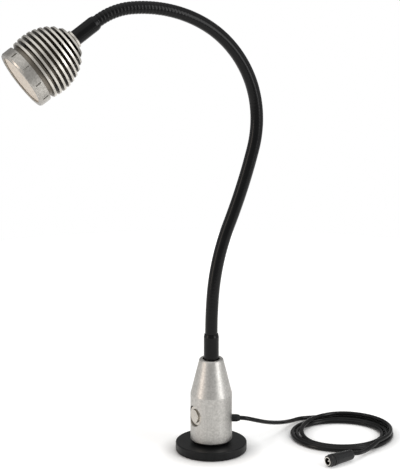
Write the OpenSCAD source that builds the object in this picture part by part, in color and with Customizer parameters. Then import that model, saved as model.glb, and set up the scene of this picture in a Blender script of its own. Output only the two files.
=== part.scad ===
// Magnetic work light: a rubber-covered magnet foot, a turned metal base with a push
// switch and a cord, a bendable neck and a finned lamp head with a screwed front ring.
// Millimetres, Z up, origin at the middle of the magnet's underside.
// The neck lies in the XZ plane and its head reaches towards -X.

/* [Magnet foot] */
// Diameter of the rubber-covered magnet
magnet_d = 66; // [60:1:90]
// Height of the rubber-covered magnet
magnet_h = 8.5; // [8:0.5:14]
// Open gap between the magnet and the base body
foot_gap = 1.5; // [1:0.25:4]
// Diameter of each small magnet inside the rubber
disc_d = 10; // [6:0.5:12]

/* [Base body] */
// Diameter of the base body
body_d = 38.6; // [36:0.2:46]
// Height of the straight part of the base body
body_h = 45.5; // [44:0.5:70]
// Height of the tapered part of the base body
cone_h = 34; // [30:1:50]
// Diameter at the top of the taper
cone_top_d = 22.3; // [20:0.1:26]
// Wall of the base body
body_wall = 6; // [5.5:0.25:7]
// Depth of the socket in the top that the lower sleeve stands in
socket_depth = 10; // [6:1:14]

/* [Switch] */
// Diameter of the push button
button_d = 12.4; // [10:0.2:13]
// Width of the ring around the button
bezel_w = 3.3; // [3:0.1:3.6]
// How far the button can be pressed
button_travel = 1.3; // [0.5:0.1:1.4]
// How far the button stands above its ring
button_rise = 1.5; // [1.5:0.1:3]
// Height of the switch above the bottom of the body
switch_up = 26.2; // [24:0.2:28]
// Direction the switch faces, about Z
switch_angle = 187; // [160:1:220]

/* [Cord] */
// Diameter of the cord
cord_d = 4; // [3:0.1:4.4]
// Diameter of the cord bush
gland_d = 7; // [6.4:0.1:9]
// Length of the cord bush outside the body
gland_out = 7.2; // [5:0.1:10]
// Height of the cord bush above the bottom of the body
gland_up = 21; // [19:0.5:24]
// Radius of the coil's outermost loop
coil_r = 46.6; // [42:0.1:50]
// Step between loops lying side by side
coil_step = 4.3; // [4.1:0.05:4.8]

/* [Neck] */
// Diameter of the neck over its ribs
neck_d = 11.6; // [10:0.2:12]
// Length of the neck from the base to the head
neck_len = 474; // [380:2:600]
// Diameter of the two end sleeves
sleeve_d = 14; // [13.1:0.1:15]
// Length of each sleeve outside the base or the head
sleeve_len = 24; // [20:1:30]
// Distance from rib to rib
rib_pitch = 3.3; // [3:0.1:5]
// Depth of the ribs
rib_depth = 0.35; // [0.1:0.05:0.6]

/* [Head] */
// Largest diameter over the fins
head_d = 60; // [58:0.5:80]
// Length of the head
head_len = 60; // [58:0.5:72]
// Thickness of a fin
fin_t = 2; // [1.4:0.1:2.6]
// Depth of the grooves between the fins
fin_depth = 7.5; // [5:0.25:8.5]
// Diameter of the front ring
ring_d = 56.6; // [56:0.2:58]
// Length of the front ring
ring_len = 10; // [9:0.25:11]
// Number of grip slots around the front ring
grip_slots = 10; // [6:1:16]
// Width of a grip slot
slot_w = 1.4; // [1:0.1:2]

/* [Hidden] */
$fn = 96;
// clearances
fit = 0.1;
run_gap = 0.35;
// depth that one shape of a piece runs into the next
sunk = 0.5;

// magnet foot
foot_r = magnet_d / 2;
foot_edge = 1.2;
rubber_side = 2;
rubber_top = 1.5;
rubber_under = 1.2;
plate_t = 2.6;
plate_r = foot_r - rubber_side;
plate_z = magnet_h - rubber_top - plate_t;
disc_r = disc_d / 2;
disc_ring = plate_r - disc_r - 1.5;
disc_count = floor(360 / (2 * asin((disc_r + 0.5) / disc_ring)));
boss_r = 6.5;
stud_r = 3;
stud_head_r = 5;
stud_head_h = 3;

// base body
body_r = body_d / 2;
cone_top_r = cone_top_d / 2;
cav_r = body_r - body_wall;
z_body = magnet_h + foot_gap;
z_shoulder = z_body + body_h;
z_top = z_shoulder + cone_h;
body_chamfer = 1.8;
rim_chamfer = 0.8;
plug_t = 6;
roof_t = 3;
z_plug = z_body + plug_t;
z_roof = z_shoulder - roof_t;
z_socket = z_top - socket_depth;

// neck fittings
sleeve_r = sleeve_d / 2;
sleeve_taper = 2.6;
sleeve_lip = 0.3;
socket_r = sleeve_r + 1;
thread_r = 4.9;
thread_len = 14;
wire_bore = 2.6;
core_r = neck_d / 2 - 1.3;
core_wall = 1.2;
core_weld = 1;
seam = 0.05;
ferrule_r = neck_d / 2 + 0.2;
ferrule_len = 8;
foot_flange_t = 2;
lead_r = 0.9;
lead_off = 1.1;
lead_bend = 2;

// switch, measured outwards along its own axis
button_r = button_d / 2;
bezel_r = button_r + bezel_w;
barrel_r = button_r + run_gap + 1.3;
bezel_t = 1.8;
bezel_gap = 0.4;
flat_sunk = 1.4;
switch_flat = sqrt(pow(body_r, 2) - pow(bezel_r + bezel_gap, 2)) - flat_sunk;
barrel_len = 10;
nut_r = barrel_r + 1.7;
nut_t = 2.5;
nut_at = sqrt(pow(cav_r, 2) - pow(nut_r, 2)) - fit;
stem_r = 2.2;
button_floor = switch_flat - 4.5;
dish_r = 20;
dish_deep = 0.5;
block_top = button_floor - button_travel - 1.2;
block_end = 4;
block_len = block_top - block_end;
terminal_len = 2.5;
block_r = button_r + run_gap - 0.2;
stem_end = block_top - 1.5;
z_switch = z_body + switch_up;

// cord bush, measured outwards along its own axis
gland_angle = -24;
gland_r = gland_d / 2;
gland_seat = sqrt(pow(body_r, 2) - pow(gland_r + fit, 2)) - 0.2;
gland_neck_r = gland_r - 0.5;
gland_lip = cav_r - 0.6;
gland_lip_t = 1.6;
gland_face = body_r + gland_out;
z_gland = z_body + gland_up;
cord_r = cord_d / 2;

// driver board
board_t = 1.6;
board_r = cav_r - 0.8;
z_board = z_plug + stud_head_h + 2;
post_r = 1.6;
post_ring = board_r - 2.6;
choke_at = [3, 4.5, 0];
choke_r = 3;
choke_h = 3.2;
cap_at = [4, -4.5, 0];
cap_r = 2.2;
cap_h = 3.6;
chip_len = 5;
chip_w = 4;
chip_t = 1.4;

// neck: six hinge points between seven pieces, each piece one arc
hinges = 6;
bends = [4.5, 18.3, -7.6, -38.6, -35.3, -30.6, -33.4];
flex_len = neck_len - 2 * sleeve_len;
cup_r = neck_d / 2 + 1.7;
ball_r = neck_d / 2 + 1.1;
cover_sides = 10;
cover_in_r = (core_r + 0.15) / cos(180 / cover_sides);
function piece_len(i) = flex_len / hinges * ((i == 0 || i == hinges) ? 0.5 : 1);
function piece_ang(i) = i == 0 ? 0 : piece_ang(i - 1) + bends[i - 1];
function arc_x(a, len, b) = abs(b) < 0.01 ? len * sin(a) : len * (cos(a) - cos(a + b)) / (b * PI / 180);
function arc_z(a, len, b) = abs(b) < 0.01 ? len * cos(a) : len * (sin(a + b) - sin(a)) / (b * PI / 180);
function piece_at(i) = i == 0 ? [0, z_top + sleeve_len] : spot(i - 1, piece_len(i - 1));
// point on piece i at distance t from its start, straight beyond the ends of the bent part
function spot(i, t) =
    (i == 0 && t < 0) ? [0, z_top + sleeve_len + t] :
    (i == hinges && t > piece_len(i)) ?
        spot(i, piece_len(i)) + (t - piece_len(i)) * [sin(head_ang), cos(head_ang)] :
    piece_at(i) + [arc_x(piece_ang(i), t, bend_to(i, t)), arc_z(piece_ang(i), t, bend_to(i, t))];
function bend_to(i, t) = bends[i] * t / piece_len(i);
function lean(i, t) =
    (i == 0 && t < 0) ? 0 :
    (i == hinges && t > piece_len(i)) ? head_ang : piece_ang(i) + bend_to(i, t);
head_ang = piece_ang(hinges) + bends[hinges];
head_at = spot(hinges, piece_len(hinges) + sleeve_len);

// first and last distance along each piece for a tube of radius r
function from_t(i, r) = i == 0 ? ferrule_len + fit - sleeve_len : -sqrt(pow(ball_r, 2) - pow(r, 2));
function to_t(i, r) =
    i == hinges ? piece_len(i) + sleeve_len - ferrule_len - fit :
    piece_len(i) - sqrt(pow(cup_r, 2) - pow(r, 2));

// head, measured forwards from its rear face
head_r = head_d / 2;
dome_mid = 0.6 * head_len;
dome_half = 0.603 * head_len;
function dome(z) = head_r * sqrt(1 - pow((z - dome_mid) / dome_half, 2));
fins = 9;
ring_groove = 4.3;
fin_front = head_len - ring_len - ring_groove - fin_t / 2;
fin_rear = 4.6;
function fin_z(i) = fin_rear + i * (fin_front - fin_rear) / (fins - 1);
hub_r = 8.5;
sink_wall = 2.6;
sink_floor = 6.5;
function groove_r(z) = max(hub_r, dome(z) - fin_depth);
floor_share = (sink_floor - fin_z(0)) / (fin_z(1) - fin_z(0));
floor_r = groove_r(fin_z(0)) * (1 - floor_share) + groove_r(fin_z(1)) * floor_share - sink_wall;
ring_r = ring_d / 2;
ring_wall = 2.1;
ring_edge = 1.5;
nose_r = ring_r - ring_wall - run_gap;
nose_wall = 1.5;
lip_t = 0.9;
lip_in = nose_r - 1.7;
lens_t = 2;
lens_front = head_len - lip_t - run_gap;
seal_t = 0.8;
nose_end = lens_front - lens_t - seal_t;
led_t = 1.6;
led_shelf = fin_front + fin_t / 2;
led_r = nose_r - nose_wall - 0.4;
led_bore = groove_r(fin_front) - sink_wall;
led_screw_ring = (led_bore + led_r) / 2;
led_screw_r = 1.2;
led_screw_in = fin_t - 0.1;
slot_len = 0.56 * ring_len;
slot_deep = 1.1;
slot_back = 0.16 * ring_len;
slot_phase = 16.6;
tip_thread = 11;
tip_nut_r = 7;
tip_nut_t = 3;

// cord route in a frame turned with the bush: along it, away from the viewer, up
coil_mid = [123.2, 35.6];
coil_in = 100;
coil_turn = 1215;
coil_rings = 24;
coil_flat = 3.2;
low_z = cord_r + 0.1;
high_z = low_z + cord_d + 0.25;
loop_step = max(coil_step, cord_d + 0.3);
function ramp(a, from, span) = let (v = min(1, max(0, (a - from) / span))) v * v * (3 - 2 * v);
// how far in a loop lies: 0 for the outer one, 2 for the inner one
function loop_in(a) = ramp(a, 280, 105) + ramp(a, 640, 105) - 1.85 * ramp(a, 1010, 90);
function loop_more(a) = cord_d * (1 - ramp(a, 0, 110));
function coil_pt(a) = [
    coil_mid[0] + (coil_r - loop_step * loop_in(a) + loop_more(a)) * cos(coil_in - a),
    coil_mid[1] - 0.7 * loop_in(a)
        + (coil_r - coil_flat - (loop_step + 0.9) * loop_in(a) + loop_more(a)) * sin(coil_in - a),
    low_z + (high_z - low_z) * ramp(a, 955, 75)];
coil_n = ceil(coil_turn / 360 * coil_rings);
coil_pts = [for (k = [0:coil_n]) coil_pt(coil_turn * k / coil_n)];
coil_start = coil_pts[0];
coil_end = coil_pts[coil_n];
way_in = (coil_pt(1) - coil_pt(0)) / norm(coil_pt(1) - coil_pt(0));
way_out = (coil_end - coil_pt(coil_turn - 1)) / norm(coil_end - coil_pt(coil_turn - 1));
lead_join = coil_start - cord_d * way_in;
tail_join = coil_end + cord_d * way_out;
lead_route = [
    [gland_lip - gland_lip_t, 0, z_gland],
    [gland_face, 0, z_gland],
    [gland_face + 6.5, 0.6, z_gland - 0.8],
    [gland_face + 15, 6.5, z_gland - 4.8],
    [50, 17, 20.6],
    [58.5, 31, 14.6],
    [67, 46.5, 9],
    [76, 62.5, 4.4],
    [86, 74.3, low_z + 0.4],
    lead_join - 8 * way_in - [0, 1.2, 0],
    lead_join - 3 * way_in,
    lead_join];
plug_r = 5.9;
plug_at = [129.6, -28.6];
plug_ang = 217.5;
tail_end = [plug_at[0], plug_at[1], plug_r];
plug_dir = [cos(plug_ang), sin(plug_ang), 0];
tail_route = [
    tail_join,
    tail_join + 5 * way_out - [0, 0, 0.05],
    [150.2, -4.6, high_z - 1.05],
    [142.6, -14.2, 3.9],
    tail_end - 9 * plug_dir - [0, 0, 0.7],
    tail_end - 4 * plug_dir,
    tail_end];

// connector, measured forwards from its cord end
shell_tail_r = 4.8;
shell_r = 5.6;
tail_round = 1.8;
shell_len = 20.5;
collar_len = 8.2;
ridge_step = 2.8;
ridge_deep = 0.6;
barrel_out = 0.8;
socket_barrel_r = 4.15;
socket_in_r = 3.4;
socket_back = shell_len - 4;
contact_r = 1;
contact_root_r = 0.8;
contact_end = shell_len + collar_len + barrel_out - 1;

// smooth curve through route points
function tangent(p, k) = (p[min(k + 1, len(p) - 1)] - p[max(k - 1, 0)]) / 2;
function blend(p, k, u) =
    p[k] * (2 * pow(u, 3) - 3 * pow(u, 2) + 1) + tangent(p, k) * (pow(u, 3) - 2 * pow(u, 2) + u) +
    p[k + 1] * (3 * pow(u, 2) - 2 * pow(u, 3)) + tangent(p, k + 1) * (pow(u, 3) - pow(u, 2));
function curve(p, n) = concat(
    [for (k = [0:len(p) - 2]) for (j = [0:n - 1]) blend(p, k, j / n)], [p[len(p) - 1]]);
function unit(v) = v / norm(v);

// one ring of points around a route point, level sideways
function heading(p, k) = unit(p[min(k + 1, len(p) - 1)] - p[max(k - 1, 0)]);
function side_of(d) = unit(cross(d, [0, 0, 1]));
function hoop(c, d, r, n) = [for (j = [0:n - 1])
    c + r * cos(360 * j / n) * side_of(d) + r * sin(360 * j / n) * cross(side_of(d), d)];

// solid tube along a list of points
module tube(p, r, n) {
    m = len(p);
    pts = [for (k = [0:m - 1]) each hoop(p[k], heading(p, k), r, n)];
    walls = [for (k = [0:m - 2]) for (j = [0:n - 1]) each
        let (a = k * n + j, b = k * n + (j + 1) % n)
        [[a, b, b + n], [a, b + n, a + n]]];
    ends = [[for (j = [n - 1:-1:0]) j], [for (j = [0:n - 1]) (m - 1) * n + j]];
    polyhedron(pts, concat(walls, ends));
}

// frame at the switch, Z outwards
module switch_frame() {
    translate([0, 0, z_switch])
        rotate([0, 0, switch_angle])
            rotate([0, 90, 0])
                children();
}

// frame at the cord bush, Z outwards
module gland_frame() {
    translate([0, 0, z_gland])
        rotate([0, 0, gland_angle])
            rotate([0, 90, 0])
                children();
}

// frame of the cord on the floor
module floor_frame() {
    rotate([0, 0, gland_angle]) children();
}

// frame of the connector, Z towards its open end
module plug_frame() {
    floor_frame()
        translate(tail_end)
            rotate([0, 90, plug_ang])
                children();
}

// frame of the head, Z towards the light
module head_frame() {
    translate([head_at[0], 0, head_at[1]])
        rotate([0, head_ang, 0])
            children();
}

// flat ring
module ring(ro, ri, h) {
    difference() {
        cylinder(r = ro, h = h);
        translate([0, 0, -1]) cylinder(r = ri, h = h + 2);
    }
}

// part of neck piece i between distances t0 and t1, with a flat section as the child
module arc_bar(i, t0, t1) {
    rad = piece_len(i) / (abs(bends[i]) * PI / 180);
    turn = abs(bends[i]) * (t1 - t0) / piece_len(i);
    p = spot(i, t0);
    translate([p[0], 0, p[1]])
        rotate([0, lean(i, t0), 0])
            mirror([bends[i] < 0 ? 1 : 0, 0, 0])
                translate([rad, 0, 0])
                    rotate([90, 0, 0])
                        rotate([0, 0, 180 - turn])
                            rotate_extrude(angle = turn)
                                translate([rad, 0]) children();
}

// straight part of the first or last neck piece
module end_bar(i, t0, t1) {
    p = spot(i, t0);
    translate([p[0], 0, p[1]])
        rotate([0, lean(i, t0), 0])
            linear_extrude(t1 - t0) children();
}

// neck piece i inside its cover, from distance t0 to t1, with a hairline seam at its straight end
module neck_bar(i, t0, t1) {
    bent_from = i == 0 ? 0 : t0;
    bent_to = i == hinges ? piece_len(i) : t1;
    arc_bar(i, bent_from, bent_to) children();
    if (i == 0) end_bar(i, t0, -seam) children();
    if (i == hinges) end_bar(i, piece_len(i) + seam, t1) children();
}

module core_section() {
    difference() {
        circle(r = core_r, $fn = 48);
        circle(r = core_r - core_wall, $fn = 48);
    }
}

// thinner ring that runs inside the core's wall across the end of its bent part
module weld_section() {
    difference() {
        circle(r = core_r - core_wall / 4, $fn = 48);
        circle(r = core_r - 3 * core_wall / 4, $fn = 48);
    }
}

// short straight bar along piece i, centred on distance t
module weld_at(i, t) {
    p = spot(i, t);
    translate([p[0], 0, p[1]])
        rotate([0, lean(i, t), 0])
            translate([0, 0, -core_weld])
                linear_extrude(2 * core_weld) children();
}

module lead_section() {
    for (s = [-1, 1])
        translate([0, s * lead_off]) circle(r = lead_r, $fn = 24);
}

// ribbed cover of neck piece i, hollow, closed on itself
module neck_cover(i) {
    ro = neck_d / 2;
    ri = cover_in_r;
    a = from_t(i, ro);
    b = to_t(i, ro);
    ribs = floor((b - a) / rib_pitch);
    step = (b - a) / ribs;
    out = [for (k = [0:2 * ribs]) [a + k * step / 2, ro - (k % 2) * rib_depth]];
    a_in = i == 0 ? a : from_t(i, ri);
    b_in = i == hinges ? b : to_t(i, ri);
    turns = ceil((b_in - a_in) / 7);
    inn = [for (k = [turns:-1:0]) [a_in + k * (b_in - a_in) / turns, ri]];
    rings = concat(out, inn);
    m = len(rings);
    n = cover_sides;
    pts = [for (q = rings) let (c = spot(i, q[0]), g = lean(i, q[0])) for (j = [0:n - 1])
        let (u = q[1] * cos(360 * j / n), v = q[1] * sin(360 * j / n))
        [c[0] + u * cos(g), v, c[1] - u * sin(g)]];
    faces = [for (k = [0:m - 1]) for (j = [0:n - 1]) each
        let (k2 = (k + 1) % m, j2 = (j + 1) % n)
        [[k * n + j, k2 * n + j, k2 * n + j2], [k * n + j, k2 * n + j2, k * n + j2]]];
    color("#1d1e20") polyhedron(pts, faces);
}

module neck_core(i) {
    t0 = i == 0 ? z_socket + foot_flange_t + fit - z_top - sleeve_len : from_t(i, core_r);
    t1 = i == hinges ? piece_len(i) + sleeve_len - foot_flange_t - fit : piece_len(i) - cup_r;
    color("#8d9196") {
        neck_bar(i, t0, t1) core_section();
        if (i == 0) weld_at(i, 0) weld_section();
        if (i == hinges) weld_at(i, piece_len(i)) weld_section();
    }
}

module neck_leads(i) {
    t0 = i == 0 ? z_board + board_t - z_top - sleeve_len : from_t(i, lead_r + lead_off);
    t1 = i == hinges ? piece_len(i) + sleeve_len + led_shelf - fit : piece_len(i) - cup_r;
    color("#b5322c") neck_bar(i, t0, t1) lead_section();
}

// neck pieces, base to head
module neck_cover_0() { neck_cover(0); }
module neck_cover_1() { neck_cover(1); }
module neck_cover_2() { neck_cover(2); }
module neck_cover_3() { neck_cover(3); }
module neck_cover_4() { neck_cover(4); }
module neck_cover_5() { neck_cover(5); }
module neck_cover_6() { neck_cover(6); }
module neck_core_0() { neck_core(0); }
module neck_core_1() { neck_core(1); }
module neck_core_2() { neck_core(2); }
module neck_core_3() { neck_core(3); }
module neck_core_4() { neck_core(4); }
module neck_core_5() { neck_core(5); }
module neck_core_6() { neck_core(6); }
module neck_leads_0() { neck_leads(0); }
module neck_leads_1() { neck_leads(1); }
module neck_leads_2() { neck_leads(2); }
module neck_leads_3() { neck_leads(3); }
module neck_leads_4() { neck_leads(4); }
module neck_leads_5() { neck_leads(5); }
module neck_leads_6() { neck_leads(6); }

// rubber cover of the magnet
module magnet_jacket() {
    color("#232427")
        difference() {
            rotate_extrude() {
                square([foot_r - foot_edge, magnet_h]);
                translate([0, foot_edge]) square([foot_r, magnet_h - 2 * foot_edge]);
                for (z = [foot_edge, magnet_h - foot_edge])
                    translate([foot_r - foot_edge, z]) circle(r = foot_edge, $fn = 32);
            }
            translate([0, 0, plate_z]) cylinder(r = plate_r + fit, h = plate_t);
            translate([0, 0, plate_z]) cylinder(r = boss_r + fit, h = magnet_h);
            disc_places() translate([0, 0, rubber_under]) cylinder(r = disc_r, h = plate_z, $fn = 48);
        }
}

module disc_places() {
    for (k = [0:disc_count - 1])
        rotate([0, 0, k * 360 / disc_count])
            translate([disc_ring, 0, 0])
                children();
}

// steel plate behind the magnets with its threaded boss
module magnet_plate() {
    color("#9a9da1")
        difference() {
            union() {
                translate([0, 0, plate_z]) cylinder(r = plate_r, h = plate_t);
                translate([0, 0, plate_z]) cylinder(r = boss_r, h = z_body - plate_z);
            }
            cylinder(r = stud_r + fit, h = z_body + 1);
        }
}

module magnet_discs() {
    color("#6f7276")
        disc_places()
            translate([0, 0, rubber_under])
                cylinder(r = disc_r, h = plate_z - rubber_under, $fn = 48);
}

// screw from inside the base down into the magnet's boss
module magnet_screw() {
    color("#85898d") {
        translate([0, 0, plate_z]) cylinder(r = stud_r, h = z_plug - plate_z);
        difference() {
            translate([0, 0, z_plug]) cylinder(r = stud_head_r, h = stud_head_h);
            translate([0, 0, z_plug + 1]) cylinder(r = 2.9, h = stud_head_h, $fn = 6);
        }
    }
}

// turned base body
module base_body() {
    color("#c9c6c0")
        difference() {
            rotate_extrude()
                polygon([
                    [0, z_body],
                    [body_r - body_chamfer, z_body],
                    [body_r, z_body + body_chamfer],
                    [body_r, z_shoulder],
                    [cone_top_r, z_top - rim_chamfer],
                    [cone_top_r - rim_chamfer, z_top],
                    [0, z_top]]);
            translate([0, 0, z_body - 1]) cylinder(r = cav_r, h = z_roof - z_body + 1);
            translate([0, 0, z_body]) cylinder(r = wire_bore + 0.4, h = cone_h + body_h);
            translate([0, 0, z_socket - thread_len - 1]) cylinder(r = thread_r + fit, h = thread_len + 2);
            translate([0, 0, z_socket]) cylinder(r = socket_r, h = socket_depth + 1);
            switch_frame() {
                translate([0, 0, switch_flat]) cylinder(r = bezel_r + bezel_gap, h = body_r);
                cylinder(r = barrel_r + fit, h = body_r);
            }
            gland_frame() {
                translate([0, 0, gland_seat]) cylinder(r = gland_r + fit, h = body_r);
                cylinder(r = gland_neck_r + fit, h = body_r);
            }
        }
}

// plug that closes the underside of the base
module base_plug() {
    color("#b9bab8")
        translate([0, 0, z_body])
            ring(cav_r - fit, stud_r + fit, plug_t);
}

// ring and threaded barrel of the push switch
module switch_bezel() {
    color("#d3cfc8")
        switch_frame()
            difference() {
                union() {
                    translate([0, 0, switch_flat]) cylinder(r = bezel_r, h = bezel_t - 0.5);
                    translate([0, 0, switch_flat + bezel_t - 0.5])
                        cylinder(r1 = bezel_r, r2 = bezel_r - 0.5, h = 0.5);
                    translate([0, 0, switch_flat - barrel_len])
                        cylinder(r = barrel_r, h = barrel_len + bezel_t / 2);
                }
                translate([0, 0, switch_flat - barrel_len - 1])
                    cylinder(r = button_r + run_gap, h = barrel_len + bezel_t + 2);
            }
}

module switch_nut() {
    color("#9da0a3")
        switch_frame()
            translate([0, 0, nut_at - nut_t])
                ring(nut_r, barrel_r + fit, nut_t);
}

// button with a dished face and a stem
module switch_button() {
    color("#d9d5cd")
        switch_frame() {
            difference() {
                translate([0, 0, button_floor])
                    cylinder(r = button_r, h = switch_flat + bezel_t + button_rise - button_floor);
                translate([0, 0, switch_flat + bezel_t + button_rise + dish_r - dish_deep])
                    sphere(r = dish_r);
            }
            translate([0, 0, stem_end]) cylinder(r = stem_r, h = button_floor - stem_end + sunk);
        }
}

// contact block behind the button
module switch_block() {
    color("#26272a")
        switch_frame()
            difference() {
                translate([0, 0, block_end]) cylinder(r = block_r, h = block_len);
                translate([0, 0, stem_end - button_travel - 1])
                    cylinder(r = stem_r + run_gap, h = block_len);
            }
}

module switch_terminals() {
    color("#c8a24a")
        switch_frame()
            for (s = [-1, 1])
                translate([-0.4, s * 2.5 - 1.2, block_end - terminal_len])
                    cube([0.8, 2.4, terminal_len]);
}

// strain relief bush for the cord
module cord_gland() {
    color("#1b1c1e")
        gland_frame()
            difference() {
                union() {
                    rotate_extrude()
                        polygon([
                            [0, gland_seat],
                            [gland_r, gland_seat],
                            [gland_r, body_r + 0.6 * gland_out],
                            [gland_r - 0.8, gland_face],
                            [0, gland_face]]);
                    translate([0, 0, gland_lip - sunk])
                        cylinder(r = gland_neck_r, h = gland_seat - gland_lip + 2 * sunk);
                    translate([0, 0, gland_lip - gland_lip_t]) cylinder(r = gland_r, h = gland_lip_t);
                }
                cylinder(r = cord_r + fit, h = gland_face + 1, $fn = 48);
            }
}

// round board in the base
module driver_board() {
    color("#2f6b3f")
        translate([0, 0, z_board])
            difference() {
                cylinder(r = board_r, h = board_t);
                post_places() translate([0, 0, -1]) cylinder(r = 1 + fit, h = board_t + 2, $fn = 24);
            }
}

module post_places() {
    for (k = [0:2])
        rotate([0, 0, 30 + 120 * k])
            translate([post_ring, 0, 0])
                children();
}

// posts that carry the board
module board_posts() {
    color("#d8d8d0")
        post_places() {
            translate([0, 0, z_plug]) cylinder(r = post_r, h = z_board - z_plug, $fn = 32);
            translate([0, 0, z_board]) cylinder(r = 1, h = board_t, $fn = 24);
        }
}

// coil, capacitor and chip on the board
module driver_parts() {
    color("#33343a")
        translate([0, 0, z_board + board_t]) {
            translate(choke_at) cylinder(r = choke_r, h = choke_h, $fn = 48);
            translate(cap_at) cylinder(r = cap_r, h = cap_h, $fn = 48);
            translate([-chip_len - lead_r - 1.1, -chip_w / 2, 0]) cube([chip_len, chip_w, chip_t]);
        }
}

// wires from the cord down to the board
module base_leads() {
    inner = gland_lip - gland_lip_t;
    top = z_board + board_t;
    color("#a83a30")
        floor_frame()
            for (s = [-1, 1])
                translate([inner, s * 0.8, 0]) {
                    translate([0, 0, z_gland - lead_bend])
                        rotate([90, 0, 0])
                            rotate([0, 0, 90])
                                rotate_extrude(angle = 90)
                                    translate([lead_bend, 0]) circle(r = 0.6, $fn = 24);
                    translate([-lead_bend, 0, top])
                        cylinder(r = 0.6, h = z_gland - lead_bend - top, $fn = 24);
                }
}

// threaded end of the neck in the base
module neck_foot() {
    color("#8f9396")
        difference() {
            union() {
                translate([0, 0, z_socket - thread_len]) cylinder(r = thread_r, h = thread_len);
                translate([0, 0, z_socket]) cylinder(r = ferrule_r, h = socket_depth + ferrule_len);
            }
            translate([0, 0, z_socket - thread_len - 1]) cylinder(r = wire_bore, h = thread_len + 4);
            translate([0, 0, z_socket + foot_flange_t])
                cylinder(r = core_r + fit, h = socket_depth + ferrule_len);
        }
}

// shrunk sleeve of a length, tapered at its far end
module sleeve(len) {
    rotate_extrude()
        polygon([
            [ferrule_r + fit, 0],
            [sleeve_r, 0],
            [sleeve_r, len - sleeve_taper],
            [ferrule_r + fit + sleeve_lip, len],
            [ferrule_r + fit, len]]);
}

module lower_sleeve() {
    color("#1b1c1e")
        translate([0, 0, z_socket]) sleeve(socket_depth + sleeve_len);
}

module upper_sleeve() {
    color("#1b1c1e")
        head_frame()
            rotate([180, 0, 0]) sleeve(sleeve_len);
}

// threaded end of the neck in the head
module neck_tip() {
    color("#8f9396")
        head_frame()
            difference() {
                union() {
                    cylinder(r = thread_r, h = tip_thread);
                    translate([0, 0, -ferrule_len]) cylinder(r = ferrule_r, h = ferrule_len);
                }
                translate([0, 0, -foot_flange_t - 1]) cylinder(r = wire_bore, h = tip_thread + 4);
                translate([0, 0, -ferrule_len - 1])
                    cylinder(r = core_r + fit, h = ferrule_len - foot_flange_t + 1);
            }
}

module tip_nut() {
    color("#9da0a3")
        head_frame()
            translate([0, 0, sink_floor])
                difference() {
                    cylinder(r = tip_nut_r, h = tip_nut_t, $fn = 6);
                    translate([0, 0, -1]) cylinder(r = thread_r + fit, h = tip_nut_t + 2);
                }
}

// finned body of the head
module heat_sink() {
    color("#cfccc6")
        head_frame()
            difference() {
                union() {
                    rotate_extrude()
                        polygon(concat(
                            [[0, 0], [hub_r, 0]],
                            [for (i = [0:fins - 1]) [groove_r(fin_z(i)), fin_z(i)]],
                            [[nose_r, fin_front], [nose_r, nose_end], [0, nose_end]]));
                    for (i = [0:fins - 1])
                        translate([0, 0, fin_z(i) - fin_t / 2])
                            cylinder(
                                r1 = dome(fin_z(i) - fin_t / 4),
                                r2 = dome(fin_z(i) + fin_t / 4),
                                h = fin_t);
                }
                rotate_extrude()
                    polygon(concat(
                        [[0, sink_floor], [floor_r, sink_floor]],
                        [for (i = [1:fins - 1]) [groove_r(fin_z(i)) - sink_wall, fin_z(i)]],
                        [[led_bore, head_len], [0, head_len]]));
                translate([0, 0, led_shelf]) cylinder(r = nose_r - nose_wall, h = head_len);
                translate([0, 0, -1]) cylinder(r = thread_r + fit, h = sink_floor + 2);
                led_screw_places() translate([0, 0, led_shelf - led_screw_in - 0.05])
                    cylinder(r = led_screw_r + 0.05, h = head_len, $fn = 24);
            }
}

module led_screw_places() {
    for (k = [0:2])
        rotate([0, 0, 120 * k])
            translate([led_screw_ring, 0, 0])
                children();
}

module led_board() {
    color("#e8e6df")
        head_frame()
            translate([0, 0, led_shelf])
                difference() {
                    cylinder(r = led_r, h = led_t);
                    led_screw_places()
                        translate([0, 0, -1])
                            cylinder(r = led_screw_r + fit, h = led_t + 2, $fn = 24);
                }
}

// light-emitting chips
module led_chips() {
    color("#f0d060")
        head_frame()
            translate([0, 0, led_shelf + led_t]) {
                translate([-1.75, -1.75, 0]) cube([3.5, 3.5, 1]);
                for (k = [0:5])
                    rotate([0, 0, 30 + 60 * k])
                        translate([0.5 * led_r - 1.75, -1.75, 0]) cube([3.5, 3.5, 1]);
            }
}

module led_screws() {
    color("#85898d")
        head_frame()
            led_screw_places() {
                translate([0, 0, led_shelf - led_screw_in])
                    cylinder(r = led_screw_r, h = led_screw_in + led_t, $fn = 24);
                translate([0, 0, led_shelf + led_t]) cylinder(r = 2, h = 1.4, $fn = 32);
            }
}

module lens_seal() {
    color("#2b2c2e")
        head_frame()
            translate([0, 0, nose_end])
                ring(nose_r, nose_r - nose_wall, seal_t);
}

// frosted front window
module diffuser() {
    color("#e4dacc")
        head_frame()
            translate([0, 0, nose_end + seal_t])
                cylinder(r = nose_r, h = lens_t);
}

// screwed front ring with grip slots
module front_ring() {
    back = head_len - ring_len;
    color("#c8c5be")
        head_frame()
            difference() {
                rotate_extrude()
                    polygon([
                        [nose_r + run_gap, back],
                        [ring_r, back],
                        [ring_r, head_len - ring_edge],
                        [ring_r - ring_edge / 2, head_len],
                        [lip_in, head_len],
                        [lip_in, head_len - lip_t],
                        [nose_r + run_gap, head_len - lip_t]]);
                for (k = [0:grip_slots - 1])
                    rotate([0, 0, slot_phase + k * 360 / grip_slots])
                        translate([ring_r - slot_deep, -slot_w / 2, back + slot_back])
                            cube([slot_deep + 1, slot_w, slot_len]);
            }
}

// cord from the bush to the coil
module cord_lead() {
    color("#19191b") floor_frame() tube(curve(lead_route, 3), cord_r, 8);
}

// piled loops of cord
module cord_coil() {
    color("#19191b") floor_frame() tube(concat([lead_join], coil_pts, [tail_join]), cord_r, 8);
}

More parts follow.
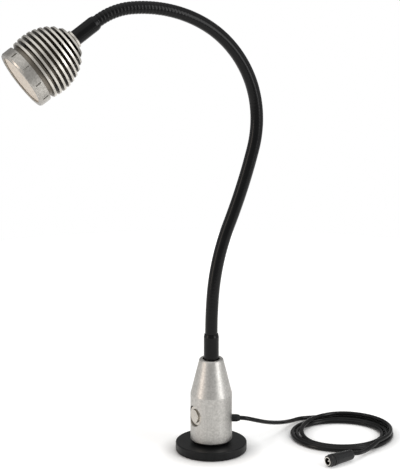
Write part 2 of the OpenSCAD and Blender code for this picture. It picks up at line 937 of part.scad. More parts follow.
// cord from the coil to the connector
module cord_tail() {
    color("#19191b") floor_frame() tube(curve(tail_route, 3), cord_r, 8);
}

// one ridge of the collar, as profile points from distance t
function ridge(t) = [
    [plug_r - ridge_deep, t],
    [plug_r, t + 0.3],
    [plug_r, t + ridge_step - 1.3],
    [plug_r - ridge_deep, t + ridge_step - 1]];

// moulded shell of the inline socket
module connector_shell() {
    color("#2a2b2e")
        plug_frame()
            difference() {
                rotate_extrude()
                    polygon(concat(
                        [
                            [0, 0],
                            [shell_tail_r - tail_round, 0],
                            [shell_tail_r - 0.3 * tail_round, 0.3 * tail_round],
                            [shell_tail_r, tail_round],
                            [shell_r, shell_len],
                            [plug_r - ridge_deep, shell_len + 0.3]],
                        [for (k = [0:1]) each ridge(shell_len + 1.3 + k * ridge_step)],
                        [
                            [plug_r - ridge_deep, shell_len + collar_len],
                            [0, shell_len + collar_len]]));
                translate([0, 0, socket_back]) cylinder(r = socket_barrel_r, h = shell_len);
                translate([0, 0, socket_back - 3]) cylinder(r = contact_root_r, h = shell_len);
            }
}

// metal barrel of the socket
module connector_barrel() {
    color("#c9c9c6")
        plug_frame()
            translate([0, 0, socket_back])
                ring(socket_barrel_r, socket_in_r, shell_len + collar_len + barrel_out - socket_back);
}

// centre contact of the socket
module connector_pin() {
    color("#cbb47a")
        plug_frame() {
            translate([0, 0, socket_back - 3]) cylinder(r = contact_root_r, h = 3, $fn = 48);
            translate([0, 0, socket_back])
                cylinder(r = contact_r, h = contact_end - socket_back - 0.6, $fn = 48);
            translate([0, 0, contact_end - 0.6]) cylinder(r1 = contact_r, r2 = 0.5, h = 0.6, $fn = 48);
        }
}

// least free gap between loops of the coil, measured on its points
coil_gap = min([for (i = [0:coil_n]) for (j = [i + 12:1:coil_n]) norm(coil_pts[i] - coil_pts[j])]) - cord_d;
echo("least gap between loops of the coil", coil_gap);

magnet_jacket();
magnet_plate();
magnet_discs();
magnet_screw();
base_body();
base_plug();
switch_bezel();
switch_nut();
switch_button();
switch_block();
switch_terminals();
cord_gland();
driver_board();
board_posts();
driver_parts();
base_leads();
neck_foot();
lower_sleeve();
neck_cover_0();
neck_cover_1();
neck_cover_2();
neck_cover_3();
neck_cover_4();
neck_cover_5();
neck_cover_6();
neck_core_0();
neck_core_1();
neck_core_2();
neck_core_3();
neck_core_4();
neck_core_5();
neck_core_6();
neck_leads_0();
neck_leads_1();
neck_leads_2();
neck_leads_3();
neck_leads_4();
neck_leads_5();
neck_leads_6();
upper_sleeve();
neck_tip();
tip_nut();
heat_sink();
led_board();
led_chips();
led_screws();
lens_seal();
diffuser();
front_ring();
cord_lead();
cord_coil();
cord_tail();
connector_shell();
connector_barrel();
connector_pin();
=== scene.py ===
"""Magnetic work light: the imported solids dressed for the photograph.

New here are a skin over each hinge of the neck, one round cord, and the stage.
"""

import math

import bpy
import numpy as np
from mathutils import Matrix, Vector


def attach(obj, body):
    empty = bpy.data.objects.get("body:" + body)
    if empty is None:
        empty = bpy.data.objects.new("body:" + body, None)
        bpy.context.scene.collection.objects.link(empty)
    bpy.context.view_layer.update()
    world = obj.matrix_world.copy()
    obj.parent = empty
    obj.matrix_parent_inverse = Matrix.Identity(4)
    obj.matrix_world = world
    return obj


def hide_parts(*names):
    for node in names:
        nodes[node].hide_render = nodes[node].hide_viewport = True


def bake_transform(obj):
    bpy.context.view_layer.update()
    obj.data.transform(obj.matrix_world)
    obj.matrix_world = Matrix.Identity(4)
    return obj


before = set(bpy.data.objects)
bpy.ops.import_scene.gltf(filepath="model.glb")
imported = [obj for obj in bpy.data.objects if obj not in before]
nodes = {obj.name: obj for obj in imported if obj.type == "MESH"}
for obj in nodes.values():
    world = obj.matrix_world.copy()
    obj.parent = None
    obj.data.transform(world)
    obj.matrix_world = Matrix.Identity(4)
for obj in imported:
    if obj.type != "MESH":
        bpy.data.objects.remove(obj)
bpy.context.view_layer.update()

# sizes below are in mm unless a comment says otherwise; Blender works in metres
MM = 0.001
MM_PER_M = 1000

# ---------------------------------------------------------------- camera
# place in m, turn and pitch as read from the photograph
CAMERA_AT = Vector((-1.03626, -2.30184, 0.97815))
CAMERA_TURN = math.radians(-24)
CAMERA_PITCH = math.radians(17)
CAMERA_LENS = 220.26
SENSOR_WIDTH = 36
CAMERA_CLIP = (0.05, 50)


def add_camera():
    """Camera at the photograph's place: right, up and back are its axes in the row frame."""
    right = Vector((math.cos(CAMERA_TURN), math.sin(CAMERA_TURN), 0))
    away = Vector((-math.sin(CAMERA_TURN), math.cos(CAMERA_TURN), 0))
    back = -math.cos(CAMERA_PITCH) * away + Vector((0, 0, math.sin(CAMERA_PITCH)))
    up = back.cross(right)
    data = bpy.data.cameras.new("camera")
    data.lens = CAMERA_LENS
    data.sensor_width = SENSOR_WIDTH
    data.clip_start, data.clip_end = CAMERA_CLIP
    camera = bpy.data.objects.new("camera", data)
    bpy.context.scene.collection.objects.link(camera)
    axes = Matrix((right, up, back)).transposed().to_4x4()
    camera.matrix_world = Matrix.Translation(CAMERA_AT) @ axes
    bpy.context.scene.camera = camera
    return right, away


RIGHT, AWAY = add_camera()


# ---------------------------------------------------------------- surfaces
def grid_object(name, points, wrap_rows):
    """Mesh of a point grid [rows, around, 3] in mm.

    Each ring closes on itself. With wrap_rows the rows close too, and without it they end in fans.
    """
    rows, around = points.shape[:2]
    index = np.arange(rows * around).reshape(rows, around)
    nxt = np.roll(index, -1, axis=1)
    low = index if wrap_rows else index[:-1]
    high, high_nxt = np.roll(index, -1, axis=0), np.roll(nxt, -1, axis=0)
    if not wrap_rows:
        high, high_nxt = high[:-1], high_nxt[:-1]
    low_nxt = nxt if wrap_rows else nxt[:-1]
    faces = np.stack([low, low_nxt, high_nxt, high], axis=-1).reshape(-1, 4)
    verts = points.reshape(-1, 3)
    ends = []
    if not wrap_rows:
        poles = np.stack([points[0].mean(0), points[-1].mean(0)])
        first, last = len(verts), len(verts) + 1
        verts = np.concatenate([verts, poles])
        ends = np.concatenate(
            [
                np.stack([np.full(around, first), nxt[0], index[0]], axis=-1),
                np.stack([np.full(around, last), index[-1], nxt[-1]], axis=-1),
            ]
        ).tolist()
    mesh = bpy.data.meshes.new(name)
    mesh.from_pydata((verts * MM).tolist(), [], faces.tolist() + ends)
    mesh.polygons.foreach_set("use_smooth", np.ones(len(mesh.polygons), bool))
    mesh.update()
    obj = bpy.data.objects.new(name, mesh)
    bpy.context.scene.collection.objects.link(obj)
    return obj


# ---------------------------------------------------------------- neck
# stretches of the neck between its sleeves, and the degrees each bends by
NECK_R = 5.8
NECK_FOOT_Z = 113.5
SLEEVE_LEN = 24
STRETCH = 71
BENDS = (4.5, 18.3, -7.6, -38.6, -35.3, -30.6, -33.4)
FLEX = STRETCH * 6
# step at which the line of the neck is worked out
LINE_STEP = 0.05
# ribs: faint from the foot, rising to full depth over RIB_RISE from RIB_FROM
RIB_PITCH = 3.3
RIB_DEPTH = 0.35
RIB_FAINT = 0.05
RIB_FROM = 325
RIB_RISE = 80
# skin: inner wall, reach into the sleeves, rows and columns of its grid
SKIN_IN_R = 4.95
SKIN_TUCK = 15.5
SKIN_RIM = 0.03
SKIN_FIRST, SKIN_LAST = 0.3, 0.1
SKIN_STEP = 0.33
SKIN_IN_STEP = 2.5
SKIN_AROUND = 40


def neck_line():
    """Distance s, lean, x and z along the neck: d(x, z)/ds = (sin lean, cos lean)."""
    s = np.arange(-SLEEVE_LEN, FLEX + SLEEVE_LEN + LINE_STEP / 5, LINE_STEP)
    knots = np.concatenate([[0], STRETCH * (np.arange(7) + 0.5)])
    knots[-1] = FLEX
    lean = np.radians(np.interp(s, knots, np.concatenate([[0], np.cumsum(BENDS)])))
    slope = np.stack([np.sin(lean), np.cos(lean)], axis=1)
    steps = (slope[1:] + slope[:-1]) * (LINE_STEP / 2)
    run = np.concatenate([[[0, 0]], np.cumsum(steps, axis=0)])
    return s, lean, run[:, 0], run[:, 1] + NECK_FOOT_Z - SLEEVE_LEN


LINE_S, LINE_LEAN, LINE_X, LINE_Z = neck_line()
HEAD_REAR = Vector((LINE_X[-1], 0, LINE_Z[-1])) * MM
HEAD_WAY = Vector((math.sin(LINE_LEAN[-1]), 0, math.cos(LINE_LEAN[-1])))


def on_neck(s, radius, around):
    """Ring points: c(s) + radius(s) (cos a n(s) + sin a y), with n across the neck in its plane."""
    lean = np.interp(s, LINE_S, LINE_LEAN)[:, None]
    angle = 2 * np.pi * np.arange(around) / around
    out = radius[:, None] * np.cos(angle)
    side = radius[:, None] * np.sin(angle)
    x = np.interp(s, LINE_S, LINE_X)[:, None] + out * np.cos(lean)
    z = np.interp(s, LINE_S, LINE_Z)[:, None] - out * np.sin(lean)
    return np.stack([x, side + 0 * x, z], axis=-1)


def rib_height(s):
    """Share of the full rib depth at s: bold by the head, faint along the rest."""
    rise = np.clip((s - RIB_FROM) / RIB_RISE, 0, 1)
    return RIB_FAINT + (1 - RIB_FAINT) * rise * rise * (3 - 2 * rise)


def skin_radius(s):
    """r(s) = R - d h(s) v(s): round-topped ribs with narrow valleys v = (1/2 - 1/2 cos)^3.

    d is the full depth, h the share of it at s, and the cosine turns once in a rib's pitch.
    """
    valley = (0.5 - 0.5 * np.cos(2 * np.pi * s / RIB_PITCH)) ** 3
    return NECK_R - RIB_DEPTH * rib_height(s) * valley


def neck_skin(number):
    """Skin over hinge number: outer wall from s0 to s1 and inner wall back, closed on itself."""
    s0 = -SKIN_TUCK if number == 1 else STRETCH * (number - 1)
    s1 = FLEX + SKIN_TUCK if number == 6 else STRETCH * number
    rows = np.arange(s0 + SKIN_FIRST, s1 - SKIN_LAST, SKIN_STEP)
    rows_in = np.arange(s1 - SKIN_IN_STEP, s0 + 1, -SKIN_IN_STEP)
    outer = np.concatenate([[s0, s0 + SKIN_RIM], rows, [s1 - SKIN_RIM, s1]])
    inner = np.concatenate([[s1, s1 - SKIN_RIM], rows_in, [s0 + SKIN_RIM, s0]])
    along = np.concatenate([outer, inner])
    radius = np.concatenate([skin_radius(outer), np.full(len(inner), float(SKIN_IN_R))])
    skin = grid_object("neck_skin_%d" % number, on_neck(along, radius, SKIN_AROUND), True)
    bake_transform(skin)
    covers = ["neck_cover_0", "neck_cover_1"] if number == 1 else ["neck_cover_%d" % number]
    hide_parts(*covers)
    return skin


# ---------------------------------------------------------------- cord
# the same route as in the part's source, in the floor frame: along the bush, away, up
CORD_D = 4.0
CORD_AROUND = 16
COIL_MID = np.array([123.2, 35.6])
COIL_R, COIL_STEP, COIL_FLAT = 46.6, 4.3, 3.2
# each loop further in is also moved towards the viewer, and is flatter by this much
LOOP_NEARER, LOOP_FLATTER = 0.7, 0.9
# degrees at which the coil starts, and through which it turns
COIL_IN, COIL_TURN = 100, 1215
COIL_ROWS = 406
COIL_LOW, COIL_HIGH = 2.1, 6.35
# start and width in degrees of each change along the coil
OPEN_RAMP = (0, 110)
INWARD_RAMPS = ((280, 105), (640, 105))
UP_RAMP = (955, 75)
OUTWARD_RAMP = (1010, 90)
OUTWARD_LOOPS = 1.85
# points of the smooth curve from one route point to the next
ROUTE_STEPS = 6
GLAND_FACE = np.array([26.5, 0, 31])
TAIL_END = np.array([129.6, -28.6, 5.9])
PLUG_TURN = math.radians(217.5)
PLUG_WAY = np.array([math.cos(PLUG_TURN), math.sin(PLUG_TURN), 0])
FLOOR_AXES = np.array([[RIGHT.x, RIGHT.y, 0], [AWAY.x, AWAY.y, 0], [0, 0, 1]])


def ramp(turn, start, width):
    """Smooth step t^2 (3 - 2 t) from 0 to 1 over width degrees of turn."""
    t = np.clip((turn - start) / width, 0, 1)
    return t * t * (3 - 2 * t)


def coil_points(turn):
    """Flattened ring mid + (R - k s + m)(cos, sin)(in - turn).

    s counts the loops moved in, k is the step from loop to loop, and m opens the first loop.
    """
    way = np.radians(COIL_IN - turn)
    inward = sum(ramp(turn, *ends) for ends in INWARD_RAMPS)
    inward = inward - OUTWARD_LOOPS * ramp(turn, *OUTWARD_RAMP)
    more = CORD_D * (1 - ramp(turn, *OPEN_RAMP))
    x = COIL_MID[0] + (COIL_R - COIL_STEP * inward + more) * np.cos(way)
    y = COIL_MID[1] - LOOP_NEARER * inward
    y = y + (COIL_R - COIL_FLAT - (COIL_STEP + LOOP_FLATTER) * inward + more) * np.sin(way)
    z = COIL_LOW + (COIL_HIGH - COIL_LOW) * ramp(turn, *UP_RAMP)
    return np.stack([x, y, z], axis=-1)


def hermite(route, steps):
    """Smooth curve through route points with tangents (p[k+1] - p[k-1]) / 2."""
    p = np.array(route, float)
    m = np.gradient(p, axis=0)
    t = (np.arange(steps) / steps)[None, :, None]
    a, b, ma, mb = (q[:, None, :] for q in (p[:-1], p[1:], m[:-1], m[1:]))
    curve = (2 * t**3 - 3 * t**2 + 1) * a + (t**3 - 2 * t**2 + t) * ma
    curve = curve + (3 * t**2 - 2 * t**3) * b + (t**3 - t**2) * mb
    return np.concatenate([curve.reshape(-1, 3), p[-1:]])


def unit(way):
    """The way given, one long."""
    return way / np.linalg.norm(way)


def cord_points():
    """The cord's centreline in mm in the row frame: bush, lead, coil, tail, socket."""
    coil = coil_points(np.linspace(0, COIL_TURN, COIL_ROWS))
    way_in = unit(np.diff(coil_points(np.array([0, 1.0])), axis=0)[0])
    way_out = unit(np.diff(coil_points(np.array([COIL_TURN - 1.0, COIL_TURN])), axis=0)[0])
    lead_join = coil[0] - CORD_D * way_in
    tail_join = coil[-1] + CORD_D * way_out
    lead = [
        [11.1, 0, 31],
        GLAND_FACE,
        [33, 0.6, 30.2],
        [41.5, 6.5, 26.2],
        [50, 17, 20.6],
        [58.5, 31, 14.6],
        [67, 46.5, 9.0],
        [76, 62.5, 4.4],
        [86, 74.3, 2.5],
        lead_join - 8 * way_in - [0, 1.2, 0],
        lead_join - 3 * way_in,
        lead_join,
    ]
    tail = [
        tail_join,
        tail_join + 5 * way_out - [0, 0, 0.05],
        [150.2, -4.6, 5.3],
        [142.6, -14.2, 3.9],
        TAIL_END - 9 * PLUG_WAY - [0, 0, 0.7],
        TAIL_END - 4 * PLUG_WAY,
        TAIL_END,
    ]
    line = np.concatenate([hermite(lead, ROUTE_STEPS), coil, hermite(tail, ROUTE_STEPS)])
    return line @ FLOOR_AXES


def tube_points(line, radius, around):
    """Rings c + radius (cos a n + sin a b) along a line of centres c.

    n lies across the line and is carried on from ring to ring without twist, and b across both.
    """
    ahead = np.gradient(line, axis=0)
    ahead = ahead / np.linalg.norm(ahead, axis=1)[:, None]
    across = np.empty_like(line)
    n = np.cross([0.0, 0.0, 1.0], ahead[0])
    for k, t in enumerate(ahead):
        n = unit(n - t * (n @ t))
        across[k] = n
    angle = 2 * np.pi * np.arange(around) / around
    ring = np.cos(angle)[None, :, None] * across[:, None, :]
    ring = ring + np.sin(angle)[None, :, None] * np.cross(ahead, across)[:, None, :]
    return line[:, None, :] + radius * ring


def add_cord():
    """One round tube along the cord's centreline, closed at both ends."""
    line = cord_points()
    cord = grid_object("cord", tube_points(line, CORD_D / 2, CORD_AROUND), False)
    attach(cord, "base")
    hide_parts("cord_lead", "cord_coil", "cord_tail")
    return cord


cord = add_cord()
skins = [neck_skin(number) for number in range(1, 7)]


# ---------------------------------------------------------------- materials
def linear(hex_colour):
    """sRGB hex to linear RGBA."""
    parts = [int(hex_colour[k : k + 2], 16) / 255 for k in (1, 3, 5)]
    return tuple(c / 12.92 if c <= 0.04045 else ((c + 0.055) / 1.055) ** 2.4 for c in parts) + (1,)


def add(tree, kind, inputs=(), out=0, stops=(), **settings):
    """Adds a node and gives its output named or numbered out.

    Settings are the node's properties, inputs its sockets, and stops the colours of a ramp.
    """
    made = tree.nodes.new(kind)
    for key, value in settings.items():
        setattr(made, key, value)
    for key, value in dict(inputs).items():
        if isinstance(value, bpy.types.NodeSocket):
            tree.links.new(value, made.inputs[key])
        else:
            made.inputs[key].default_value = value
    for k, (place, colour) in enumerate(stops):
        element = made.color_ramp.elements[k]
        element.position, element.color = place, linear(colour)
    return made.outputs[out]


def material(name, colour, roughness, metallic=0.0, **sockets):
    """New material with a Principled shader and constants on its own sockets."""
    made = bpy.data.materials.new(name)
    made.use_nodes = True
    tree = made.node_tree
    shader = next(n for n in tree.nodes if n.type == "BSDF_PRINCIPLED")
    shader.inputs["Base Color"].default_value = linear(colour)
    shader.inputs["Roughness"].default_value = roughness
    shader.inputs["Metallic"].default_value = metallic
    for key, value in sockets.items():
        shader.inputs[key.replace("_", " ")].default_value = value
    return made, tree, shader


# the middle part of a noise's range, where nearly all of it lies
NOISE_LOW, NOISE_HIGH = 0.3, 0.7
# how far the gloss goes either way from a material's roughness
MOULDED_SPREAD, METAL_SPREAD, FIN_SPREAD = 0.05, 0.055, 0.05
# tone clouds of a moulded skin, in grains
CLOUD_GRAINS = 12


def surface(tree, shader, tone, marks, roughness, spread, depth_mm):
    """Tone to the colour, marks to the gloss (roughness +- spread) and to a relief of depth_mm."""
    noise = {"From Min": NOISE_LOW, "From Max": NOISE_HIGH}
    ends = {"To Min": roughness - spread, "To Max": roughness + spread}
    gloss = add(tree, "ShaderNodeMapRange", {"Value": marks, **noise, **ends})
    relief = add(tree, "ShaderNodeBump", {"Height": marks, "Distance": depth_mm * MM})
    tree.links.new(tone, shader.inputs["Base Color"])
    tree.links.new(gloss, shader.inputs["Roughness"])
    tree.links.new(relief, shader.inputs["Normal"])


def moulded(name, low, high, roughness, size_mm, depth_mm, **sockets):
    """Moulded plastic or rubber: two close tones in clouds, uneven gloss, a skin of size_mm."""
    made, tree, shader = material(name, high, roughness, **sockets)
    place = add(tree, "ShaderNodeTexCoord", out="Object")
    wide, fine = MM_PER_M / (CLOUD_GRAINS * size_mm), MM_PER_M / size_mm
    cloud = add(tree, "ShaderNodeTexNoise", {"Vector": place, "Scale": wide, "Detail": 3})
    skin = add(tree, "ShaderNodeTexNoise", {"Vector": place, "Scale": fine, "Detail": 3})
    stops = ((NOISE_LOW, low), (NOISE_HIGH, high))
    tone = add(tree, "ShaderNodeValToRGB", {"Fac": cloud}, stops=stops)
    surface(tree, shader, tone, skin, roughness, MOULDED_SPREAD, depth_mm)
    return made


def metal(name, low, high, roughness, size_mm, depth_mm, stretch=(1, 1, 1), cloud_mm=9):
    """Bare or plated metal: two close tones in clouds of cloud_mm, uneven gloss, marks of size_mm.

    The marks are drawn out by stretch along x, y and z.
    """
    made, tree, shader = material(name, high, roughness, 1.0)
    place = add(tree, "ShaderNodeTexCoord", out="Object")
    wide, fine = MM_PER_M / cloud_mm, MM_PER_M / size_mm
    squeeze = tuple(1 / k for k in stretch)
    drawn = add(tree, "ShaderNodeMapping", {"Vector": place, "Scale": squeeze})
    marks = add(tree, "ShaderNodeTexNoise", {"Vector": drawn, "Scale": fine, "Detail": 4})
    cloud = add(tree, "ShaderNodeTexNoise", {"Vector": place, "Scale": wide, "Detail": 3})
    stops = ((NOISE_LOW, low), (NOISE_HIGH, high))
    tone = add(tree, "ShaderNodeValToRGB", {"Fac": cloud}, stops=stops)
    surface(tree, shader, tone, marks, roughness, METAL_SPREAD, depth_mm)
    return made


# In each line: the dark and the light tone, roughness, grain in mm and its relief in mm. The real
# grain of these finishes is finer than a pixel, so all of it is drawn coarser, to show.

# near-black rubber with a dull skin, a little greyer in clouds
RUBBER = moulded(
    "rubber_moulded_black", "#0B0C0D", "#151617", 0.42, 0.5, 0.015, Specular_IOR_Level=0.2
)
# satin turned steel, warm grey, speckled, with marks that run round the body
BODY_STEEL = metal("steel_turned_satin", "#B0AEAA", "#C9C7C3", 0.42, 0.7, 0.006, (3, 3, 1), 1.8)
# brighter and smoother turned steel of the switch
SWITCH_STEEL = metal("stainless_turned_switch", "#BFBAB2", "#D1CCC4", 0.3, 0.3, 0.003)

# fins: their outline's radius, middle and half length along the head, from its rear
DOME_R, DOME_MID, DOME_HALF = 30, 36, 36.18
# painted shade in the grooves: depth below the outline at which it starts, and at which it is
# darkest
GROOVE_FROM, GROOVE_DARK = 0.3, 1.6
# metal colour of the rims, and of the groove walls under full painted shade
FIN_RIM, FIN_SHADE = "#D6D2CA", "#7A746B"
FIN_ROUGHNESS = 0.37
FIN_GRAIN, FIN_RELIEF = 0.3, 0.003


def groove_shade_share(tree):
    """Painted shade share: 0 on the fins' outline r = R sqrt(1 - ((t - mid) / half)^2), 1 well
    below it.

    t runs along the head's axis from its rear, and r is the distance from that axis.
    """
    place = add(tree, "ShaderNodeTexCoord", out="Object")
    off = add(tree, "ShaderNodeVectorMath", {0: place, 1: HEAD_REAR}, operation="SUBTRACT")
    pair = {0: off, 1: HEAD_WAY}
    along = add(tree, "ShaderNodeVectorMath", pair, "Value", operation="DOT_PRODUCT")
    across = add(tree, "ShaderNodeVectorMath", pair, operation="CROSS_PRODUCT")
    radius = add(tree, "ShaderNodeVectorMath", {0: across}, "Value", operation="LENGTH")
    ends = {"From Min": (DOME_MID - DOME_HALF) * MM, "From Max": (DOME_MID + DOME_HALF) * MM}
    share = add(tree, "ShaderNodeMapRange", {"Value": along, **ends, "To Min": -1, "To Max": 1})
    square = add(tree, "ShaderNodeMath", {0: share, 1: share}, operation="MULTIPLY")
    rest = add(tree, "ShaderNodeMath", {0: 1, 1: square}, operation="SUBTRACT")
    root = add(tree, "ShaderNodeMath", {0: rest}, operation="SQRT")
    outline = add(tree, "ShaderNodeMath", {0: root, 1: DOME_R * MM}, operation="MULTIPLY")
    depth = add(tree, "ShaderNodeMath", {0: outline, 1: radius}, operation="SUBTRACT")
    dark = {"From Min": GROOVE_FROM * MM, "From Max": GROOVE_DARK * MM}
    return add(tree, "ShaderNodeMapRange", {"Value": depth, **dark})


def finned():
    """Turned fins: bright rims, and painted shade in the grooves that goes darker with depth."""
    made, tree, shader = material("aluminium_turned_fins_painted_shade", FIN_RIM, FIN_ROUGHNESS, 1.0)
    place = add(tree, "ShaderNodeTexCoord", out="Object")
    fine = MM_PER_M / FIN_GRAIN
    marks = add(tree, "ShaderNodeTexNoise", {"Vector": place, "Scale": fine, "Detail": 4})
    # rim colour, darkened into the grooves as painted shade
    stops = ((0.0, FIN_RIM), (1.0, FIN_SHADE))
    tone = add(tree, "ShaderNodeValToRGB", {"Fac": groove_shade_share(tree)}, stops=stops)
    surface(tree, shader, tone, marks, FIN_ROUGHNESS, FIN_SPREAD, FIN_RELIEF)
    return made


# bright rims, with painted shade in the gaps between them, brownish grey going dark
FIN_METAL = finned()
# mid-grey satin aluminium of the front ring, speckled
RING_METAL = metal(
    "aluminium_turned_satin_ring", "#A5A29C", "#C4C1BB", 0.34, 0.5, 0.005, cloud_mm=1.8
)
# cream, evenly frosted, with no sharp reflection
WINDOW = moulded("polycarbonate_frosted_window", "#DFD5C7", "#E8DFD2", 0.5, 0.6, 0.01)
# black tube shrunk tight over the neck, with a thin soft line of light along it
NECK_PVC = moulded(
    "pvc_shrunk_sleeve_black", "#060607", "#0B0B0C", 0.2, 0.6, 0.008, Specular_IOR_Level=0.2
)
# black drawn cord, with a thin line of light along each turn
CORD_PVC = moulded(
    "pvc_extruded_cord_black", "#050606", "#0A0A0B", 0.2, 0.5, 0.008, Specular_IOR_Level=0.25
)
# dull black nylon of the bush and the contact block
NYLON = moulded(
    "nylon_moulded_black", "#0E0F10", "#151617", 0.45, 0.4, 0.012, Specular_IOR_Level=0.27
)
# dark grey satin plastic of the inline socket
SHELL = moulded(
    "abs_moulded_dark_grey", "#0D0E0F", "#151617", 0.22, 0.5, 0.006, Specular_IOR_Level=0.42
)
# bright, nearly mirror-smooth nickel of the barrel and the pin
NICKEL = metal("brass_nickel_plated", "#CFCBC4", "#DEDAD3", 0.16, 0.6, 0.002)
# yellow brass of the terminals
BRASS = metal("brass_turned_contact", "#B8923F", "#CBA653", 0.25, 0.4, 0.002)
# bluish grey zinc plate on the screws, nuts and plates inside
ZINC = metal("steel_zinc_plated", "#8E9196", "#A3A6AB", 0.35, 0.8, 0.004)
# dark smooth nickel plate on the magnets
MAGNET = metal("neodymium_nickel_plated", "#8A8C90", "#9B9DA1", 0.22, 1.0, 0.002)
# dark bare spring steel of the wound core
CORE = metal("spring_steel_wound", "#7B7F85", "#8F9399", 0.35, 0.6, 0.01)
# green board with a satin varnish
GREEN = moulded("glass_epoxy_board_green", "#27593A", "#306845", 0.4, 0.8, 0.005)
# white board of the light, satin
WHITE = moulded("aluminium_board_white_mask", "#DAD9D3", "#E6E5DF", 0.4, 0.8, 0.004)
# yellow chips under a soft clear skin
CHIP = moulded("silicone_phosphor_yellow", "#D9BE4C", "#E6CF66", 0.35, 0.5, 0.004)
# red wire, softly dull
WIRE = moulded("silicone_wire_red", "#9C2D28", "#B13A33", 0.42, 0.5, 0.004)
# milky white posts
POST = moulded("nylon_moulded_natural", "#CFCFC7", "#DBDBD3", 0.42, 0.5, 0.006)
# dark grey bodies of the parts on the board
PARTS = moulded("epoxy_moulded_parts", "#2B2C31", "#383A40", 0.45, 0.5, 0.006)

LOOKS = {
    "magnet_jacket": RUBBER,
    "magnet_plate": ZINC,
    "magnet_discs": MAGNET,
    "magnet_screw": ZINC,
    "base_body": BODY_STEEL,
    "base_plug": ZINC,
    "switch_bezel": SWITCH_STEEL,
    "switch_nut": ZINC,
    "switch_button": SWITCH_STEEL,
    "switch_block": NYLON,
    "switch_terminals": BRASS,
    "cord_gland": NYLON,
    "driver_board": GREEN,
    "board_posts": POST,
    "driver_parts": PARTS,
    "base_leads": WIRE,
    "neck_foot": ZINC,
    "lower_sleeve": NECK_PVC,
    "upper_sleeve": NECK_PVC,
    "neck_tip": ZINC,
    "tip_nut": ZINC,
    "heat_sink": FIN_METAL,
    "led_board": WHITE,
    "led_chips": CHIP,
    "led_screws": ZINC,
    "lens_seal": RUBBER,
    "diffuser": WINDOW,
    "front_ring": RING_METAL,
    "cord_lead": CORD_PVC,
    "cord_coil": CORD_PVC,
    "cord_tail": CORD_PVC,
    "connector_shell": SHELL,
    "connector_barrel": NICKEL,
    "connector_pin": NICKEL,
}
for k in range(7):
    LOOKS["neck_cover_%d" % k] = NECK_PVC
    LOOKS["neck_core_%d" % k] = CORE
    LOOKS["neck_leads_%d" % k] = WIRE


def dress(obj, look):
    """One material on the whole object."""
    obj.data.materials.clear()
    obj.data.materials.append(look)


for name, obj in nodes.items():
    dress(obj, LOOKS[name])
dress(cord, CORD_PVC)
for skin in skins:
    dress(skin, NECK_PVC)


# ---------------------------------------------------------------- stage and light
# floor in m: radius, gap under the foot, and sides of its rim
FLOOR_R, FLOOR_GAP, FLOOR_SIDES = 0.7, 0.0002, 96
# painted light: the floor glows towards white off the middle, leaving real shade near the foot;
# from and to in m, and strength
LIFT_NEAR = {"From Min": 0.034, "From Max": 0.05, "To Min": 0, "To Max": 0.28}
LIFT_FAR = {"From Min": 0.1, "From Max": 0.6, "To Min": 0, "To Max": 0.25}
# no painted glow within this much, in m, of the middle of the coil's loops, at RING_MID mm from its
# centre
RING_MID = 42
RING_CLEAR = {"From Min": 0.005, "From Max": 0.018}
# share of the painted glow that shows in gloss
LIFT_IN_GLOSS = 0.6
# strength of the white surroundings as light, and as seen
WORLD_LIGHT, WORLD_SEEN = 0.5, 1.0
# walls in m: distance, foot and top, and points along and up
WALL_R, WALL_LOW, WALL_HIGH = 1.9, -0.6, 2.6
WALL_COLUMNS, WALL_ROWS = 37, 9


def add_floor():
    """Round white floor; its painted glow towards white starts a little way from the foot and the
    coil.
    """
    angle = np.linspace(0, 2 * np.pi, FLOOR_SIDES, endpoint=False)
    rim = np.stack([np.cos(angle), np.sin(angle), 0 * angle], axis=1) * FLOOR_R
    mesh = bpy.data.meshes.new("floor")
    mesh.from_pydata((rim - [0, 0, FLOOR_GAP]).tolist(), [], [list(range(FLOOR_SIDES))])
    floor = bpy.data.objects.new("floor", mesh)
    bpy.context.scene.collection.objects.link(floor)
    made, tree, shader = material("paper_floor_white", "#FCFCFB", 0.9, Specular_IOR_Level=0.0)
    place = add(tree, "ShaderNodeTexCoord", out="Object")
    reach = add(tree, "ShaderNodeVectorMath", {0: place}, "Value", operation="LENGTH")
    near = add(tree, "ShaderNodeMapRange", {"Value": reach, **LIFT_NEAR})
    far = add(tree, "ShaderNodeMapRange", {"Value": reach, **LIFT_FAR})
    rise = add(tree, "ShaderNodeMath", {0: near, 1: far}, operation="ADD")
    coil_mid = (np.append(COIL_MID, 0) @ FLOOR_AXES * MM).tolist()
    ends = {0: place, 1: coil_mid}
    off_mid = add(tree, "ShaderNodeVectorMath", ends, "Value", operation="DISTANCE")
    off_ring = add(tree, "ShaderNodeMath", {0: off_mid, 1: RING_MID * MM}, operation="SUBTRACT")
    width = add(tree, "ShaderNodeMath", {0: off_ring}, operation="ABSOLUTE")
    clear = add(tree, "ShaderNodeMapRange", {"Value": width, **RING_CLEAR})
    shown = add(tree, "ShaderNodeMath", {0: rise, 1: clear}, operation="MULTIPLY")
    camera_ray = add(tree, "ShaderNodeLightPath", out="Is Camera Ray")
    glossy_ray = add(tree, "ShaderNodeLightPath", out="Is Glossy Ray")
    rays = {0: glossy_ray, 1: LIFT_IN_GLOSS, 2: camera_ray}
    seen = add(tree, "ShaderNodeMath", rays, operation="MULTIPLY_ADD")
    # painted light: the floor's glow, to the camera and in gloss
    painted_glow = add(tree, "ShaderNodeMath", {0: shown, 1: seen}, operation="MULTIPLY")
    shader.inputs["Emission Color"].default_value = (1, 1, 1, 1)
    tree.links.new(painted_glow, shader.inputs["Emission Strength"])
    dress(floor, made)


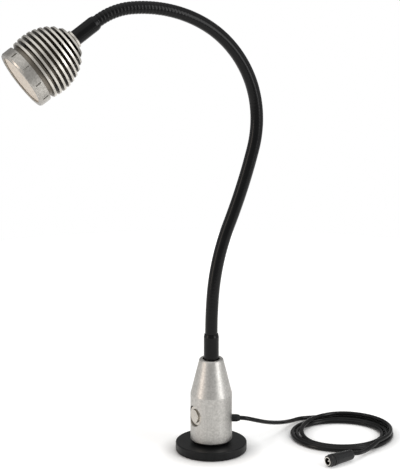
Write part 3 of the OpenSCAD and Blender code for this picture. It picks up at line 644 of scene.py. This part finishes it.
def add_world():
    """White to the camera and in gloss, softer as light."""
    world = bpy.data.worlds.new("studio")
    world.use_nodes = True
    tree = world.node_tree
    sky = next(n for n in tree.nodes if n.type == "BACKGROUND")
    kinds = ("Is Camera Ray", "Is Glossy Ray", "Is Transmission Ray")
    rays = [add(tree, "ShaderNodeLightPath", out=kind) for kind in kinds]
    seen = add(tree, "ShaderNodeMath", {0: rays[0], 1: rays[1]}, operation="MAXIMUM")
    shown = add(tree, "ShaderNodeMath", {0: seen, 1: rays[2]}, operation="MAXIMUM")
    ends = {"To Min": WORLD_LIGHT, "To Max": WORLD_SEEN}
    level = add(tree, "ShaderNodeMapRange", {"Value": shown, **ends})
    tree.links.new(level, sky.inputs["Strength"])
    sky.inputs["Color"].default_value = (1, 1, 1, 1)
    bpy.context.scene.world = world


def add_wall(name, start, end, level):
    """Round wall R (sin a, -cos a) about the foot, a from start to end, seen only in gloss.

    a is in degrees from the camera's side, growing to its right.
    """
    turn = np.radians(np.linspace(start, end, WALL_COLUMNS))[:, None]
    height = np.linspace(WALL_LOW, WALL_HIGH, WALL_ROWS)[None, :]
    side = WALL_R * np.sin(turn) + 0 * height
    front = -WALL_R * np.cos(turn) + 0 * height
    x = RIGHT.x * side + AWAY.x * front
    y = RIGHT.y * side + AWAY.y * front
    points = np.stack([x, y, height + 0 * turn], axis=-1)
    index = np.arange(WALL_COLUMNS * WALL_ROWS).reshape(WALL_COLUMNS, WALL_ROWS)
    faces = np.stack([index[:-1, :-1], index[:-1, 1:], index[1:, 1:], index[1:, :-1]], axis=-1)
    mesh = bpy.data.meshes.new(name)
    mesh.from_pydata(points.reshape(-1, 3).tolist(), [], faces.reshape(-1, 4).tolist())
    wall = bpy.data.objects.new(name, mesh)
    bpy.context.scene.collection.objects.link(wall)
    made, _, shader = material("cloth_" + name, "#000000", 1.0, Specular_IOR_Level=0.0)
    shader.inputs["Emission Color"].default_value = (1, 1, 1, 1)
    shader.inputs["Emission Strength"].default_value = level
    dress(wall, made)
    wall.visible_camera = wall.visible_diffuse = False
    wall.visible_transmission = wall.visible_shadow = False


def add_lamp(name, place, aim, size, power, colour="#FFFFFF"):
    """Soft lamp of size (wide, tall) at place, pointed at aim, both right, away and up in m."""
    data = bpy.data.lights.new(name, "AREA")
    data.shape, data.size, data.size_y, data.energy = "RECTANGLE", size[0], size[1], power
    data.color = linear(colour)[:3]
    lamp = bpy.data.objects.new(name, data)
    at = RIGHT * place[0] + AWAY * place[1] + Vector((0, 0, place[2]))
    to = RIGHT * aim[0] + AWAY * aim[1] + Vector((0, 0, aim[2]))
    lamp.location = at
    lamp.rotation_mode = "QUATERNION"
    lamp.rotation_quaternion = (to - at).to_track_quat("-Z", "Y")
    bpy.context.scene.collection.objects.link(lamp)
    return lamp


add_floor()
add_world()
add_wall("wall_left", -118, -35, 0.75)
add_wall("wall_front", -35, 35, 0.45)
add_wall("wall_right", 35, 118, 0.75)
add_wall("wall_back", 118, 242, 0.35)
add_lamp("lamp_left", (-1.26, -0.61, 0.6), (0, 0, 0.5), (0.4, 1.3), 4.6, "#FFEEE0")
add_lamp("lamp_right", (1.18, -0.76, 0.85), (0, 0, 0.75), (0.5, 1.8), 9.4)
lamp_top = add_lamp("lamp_top", (0.1, 0.2, 1.7), (0, 0, 0.2), (1.2, 1.2), 7)
lamp_top.visible_glossy = False

bpy.context.scene.view_settings.view_transform = "Standard"

bpy.context.view_layer.update()
